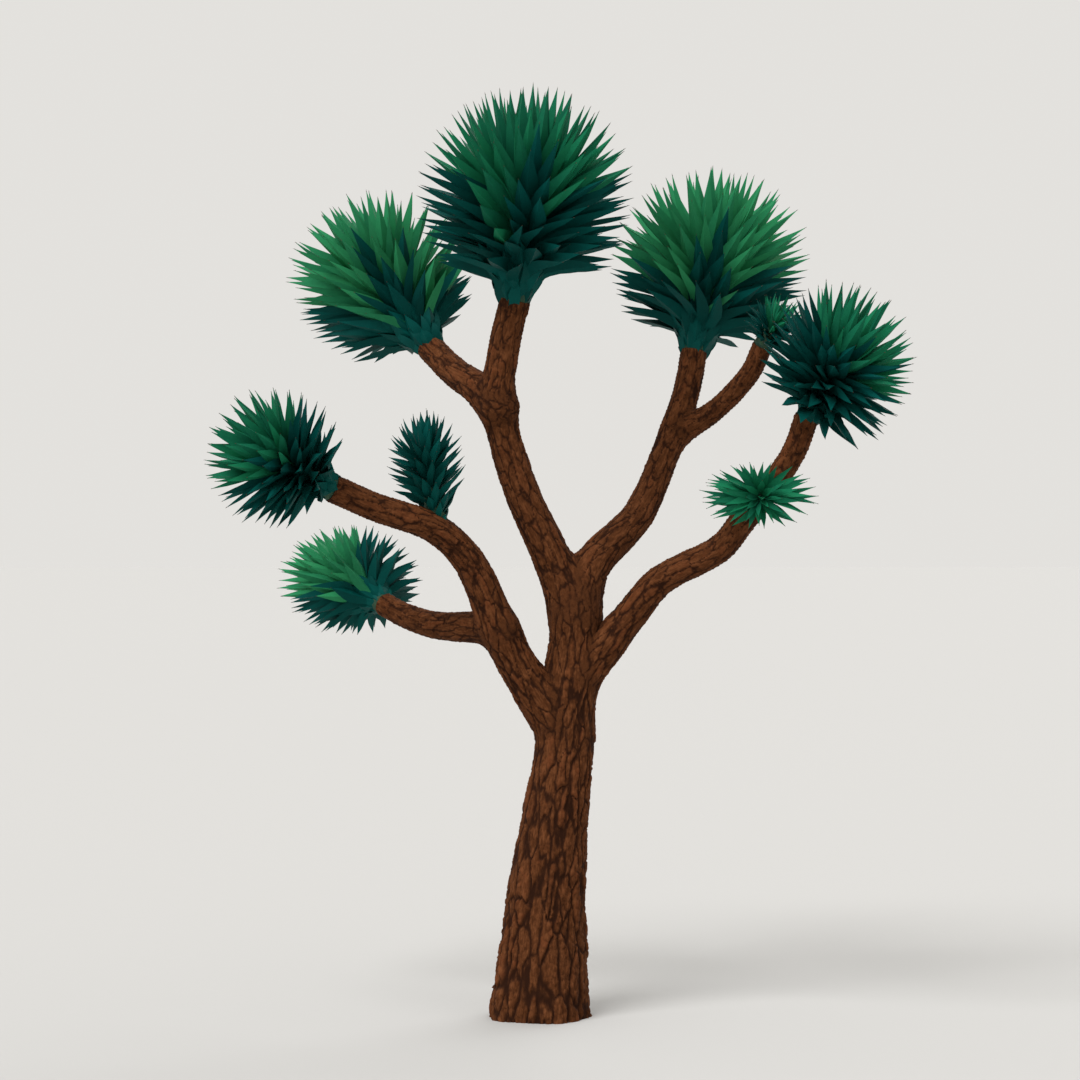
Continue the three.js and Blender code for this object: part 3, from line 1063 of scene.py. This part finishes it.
surface, start = new_material(
    wood, "corky_bark", Metallic=0.0, Roughness=0.9, Specular_IOR_Level=0.08)
relief_wire = start.attribute("relief")
grain_wire = start.attribute("grain", output="Vector")
fibres = grain_wire.scaled(fibre_stretch).noise(scale=170.0, detail=5.0, roughness=0.65)
flakes = grain_wire.scaled(flake_stretch).noise(scale=46.0, detail=5.0, roughness=0.6)
patches = grain_wire.noise(scale=5.0, detail=3.0, roughness=0.5)
shade_wire = start.attribute("shade")
frayed_relief = relief_wire + (flakes - middle_of_noise) * fraying
on_plate = frayed_relief.ramp(low=-0.05, high=0.95)
tone = shade_wire * plate_weight + patches * patch_weight - bark_tone_shift
plate_colour = tone.ramp(low=0.2, high=0.8).between(deep_brown, plate_brown)
weathering = flakes * flake_weathering + fibres * fibre_weathering
worn_colour = weathering.ramp(low=0.45, high=0.75).between(plate_colour, weathered_brown)
# Painted shade: the dark brown fills the furrows and cracks, where on_plate is low.
feed(surface, "Base Color", on_plate.between(furrow_shade_brown, worn_colour))
feed(surface, "Roughness", furrow_roughness - on_plate * plate_polish)
bumps = fibres * fibre_bump + flakes * flake_bump + relief_wire * furrow_bump
feed(surface, "Normal", bumps.bump(strength=0.7, distance=0.004))
print("bark:", len(start.tree.nodes), "shader nodes")

# %% [markdown]
# ## Leaf materials
# A leaf is waxy, with no more than a faint sheen. One material could read every green from
# the mesh, but the record gives three finishes, so each has its own, by one recipe. A little
# noise and a value that differs from leaf to leaf keep neighbours apart, and a fine grain
# roughens the sheen.

# %% Leaves, spines and stems
greens = {
    "leaf_bright": ("2f8b5a", "22734e"),
    "leaf_deep": ("1a7852", "145f47"),
    # leaf_dark is the leaf green darkened as painted shade, for the shaded sides of the heads.
    "leaf_dark": ("044d48", "033c38"),
}
leaf_difference = 0.65  # of the tone, from leaf to leaf
mottle_difference = 0.5
leaf_tone_shift = 0.05
least_leaf_roughness = 0.42
leaf_roughness_spread = 0.24
stem_stretch = (1.0, 1.0, 0.4)

for slot_name, (light, deep) in greens.items():
    surface, start = new_material(
        leaf_pieces[slot_name], slot_name, Metallic=0.0, Roughness=0.5, Specular_IOR_Level=0.05)
    place = start.add("TexCoord", output="Object")
    mottle = place.noise(scale=38.0, detail=3.0, roughness=0.55)
    fine_grain = place.noise(scale=260.0, detail=2.0, roughness=0.5)
    tint = start.attribute("tint")
    tone = tint * leaf_difference + mottle * mottle_difference - leaf_tone_shift
    feed(surface, "Base Color", tone.ramp(low=0.0, high=1.0).between(colour(deep), colour(light)))
    feed(surface, "Roughness", least_leaf_roughness + mottle * leaf_roughness_spread)
    feed(surface, "Normal", fine_grain.bump(strength=0.25, distance=0.001))

surface, start = new_material(spines, "brown_spine", Metallic=0.0, Roughness=0.5)
place = start.add("TexCoord", output="Object")
spine_noise = place.noise(scale=120.0, detail=2.0, roughness=0.5)
feed(surface, "Base Color", spine_noise.between(colour("23170c"), colour("4a3018")))

surface, start = new_material(stems, "leaf_base", Metallic=0.0, Roughness=0.85)
place = start.add("TexCoord", output="Object")
stem_noise = place.scaled(stem_stretch).noise(scale=90.0, detail=4.0, roughness=0.6)
stem_tone = stem_noise.ramp(low=0.3, high=0.7)
feed(surface, "Base Color", stem_tone.between(colour("0f3a30"), colour("2f4a2e")))
feed(surface, "Normal", stem_noise.bump(strength=0.6, distance=0.003))
print("materials:", [material.name for material in bpy.data.materials])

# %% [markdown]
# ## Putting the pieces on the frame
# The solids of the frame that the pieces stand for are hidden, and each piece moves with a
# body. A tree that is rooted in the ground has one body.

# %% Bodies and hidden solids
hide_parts(*limbs)
for green, piece in leaf_pieces.items():
    with_leaves = {leaf["head"].name for leaf in leaves_of[green]}
    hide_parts(*sorted(with_leaves))
for piece in (wood, stems, spines, *leaf_pieces.values()):
    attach(piece, "root")

# %% [markdown]
# ## Floor, light and camera
# The tree stands in a plain studio: a wide pale floor that runs on into a pale sky, one large
# soft light high in front on the left, and a weaker one behind. Sun lamps with a wide angle
# give the same soft light wherever the camera goes. The camera looks level from twelve metres
# away, at the height that puts the foot of the trunk low in the picture.

# %% The studio
floor_size = 400
sky_strength = 0.9
camera_distance = 12.0
camera_height = 1.904
floor_points = np.array([(-1, -1, 0), (1, -1, 0), (1, 1, 0), (-1, 1, 0)]) * floor_size / 2
floor = new_mesh("floor", floor_points, [(0, 1, 2, 3)])
new_material(floor, "pale_floor", Base_Color=colour("b7b6b4"), Roughness=0.95)

world = bpy.data.worlds.new("pale sky")
world.use_nodes = True
sky = world.node_tree.nodes["Background"]
sky.inputs["Color"].default_value = colour("eeece8")
sky.inputs["Strength"].default_value = sky_strength
bpy.context.scene.world = world


def soft_sun(name, strength, width, turn, height):
    """A sun lamp as wide as a studio light, placed by its turn from the front and its height."""
    lamp = bpy.data.lights.new(name, "SUN")
    lamp.energy = strength
    lamp.angle = math.radians(width)
    sun = bpy.data.objects.new(name, lamp)
    sun.rotation_euler = (math.radians(90 - height), 0, math.radians(turn))
    bpy.context.scene.collection.objects.link(sun)


soft_sun("key light", strength=2.4, width=30, turn=-35, height=52)
soft_sun("back light", strength=0.9, width=40, turn=150, height=40)

camera_data = bpy.data.cameras.new("camera")
camera_data.lens = 100
camera_data.sensor_width = 36
camera = bpy.data.objects.new("camera", camera_data)
camera.location = (0, -camera_distance, camera_height)
camera.rotation_euler = (math.radians(90), 0, 0)
bpy.context.scene.collection.objects.link(camera)
bpy.context.scene.camera = camera
bpy.context.scene.view_settings.view_transform = "Standard"
picture_width = camera_distance * camera_data.sensor_width / camera_data.lens
print("picture is", round(picture_width, 2), "m wide at the trunk")
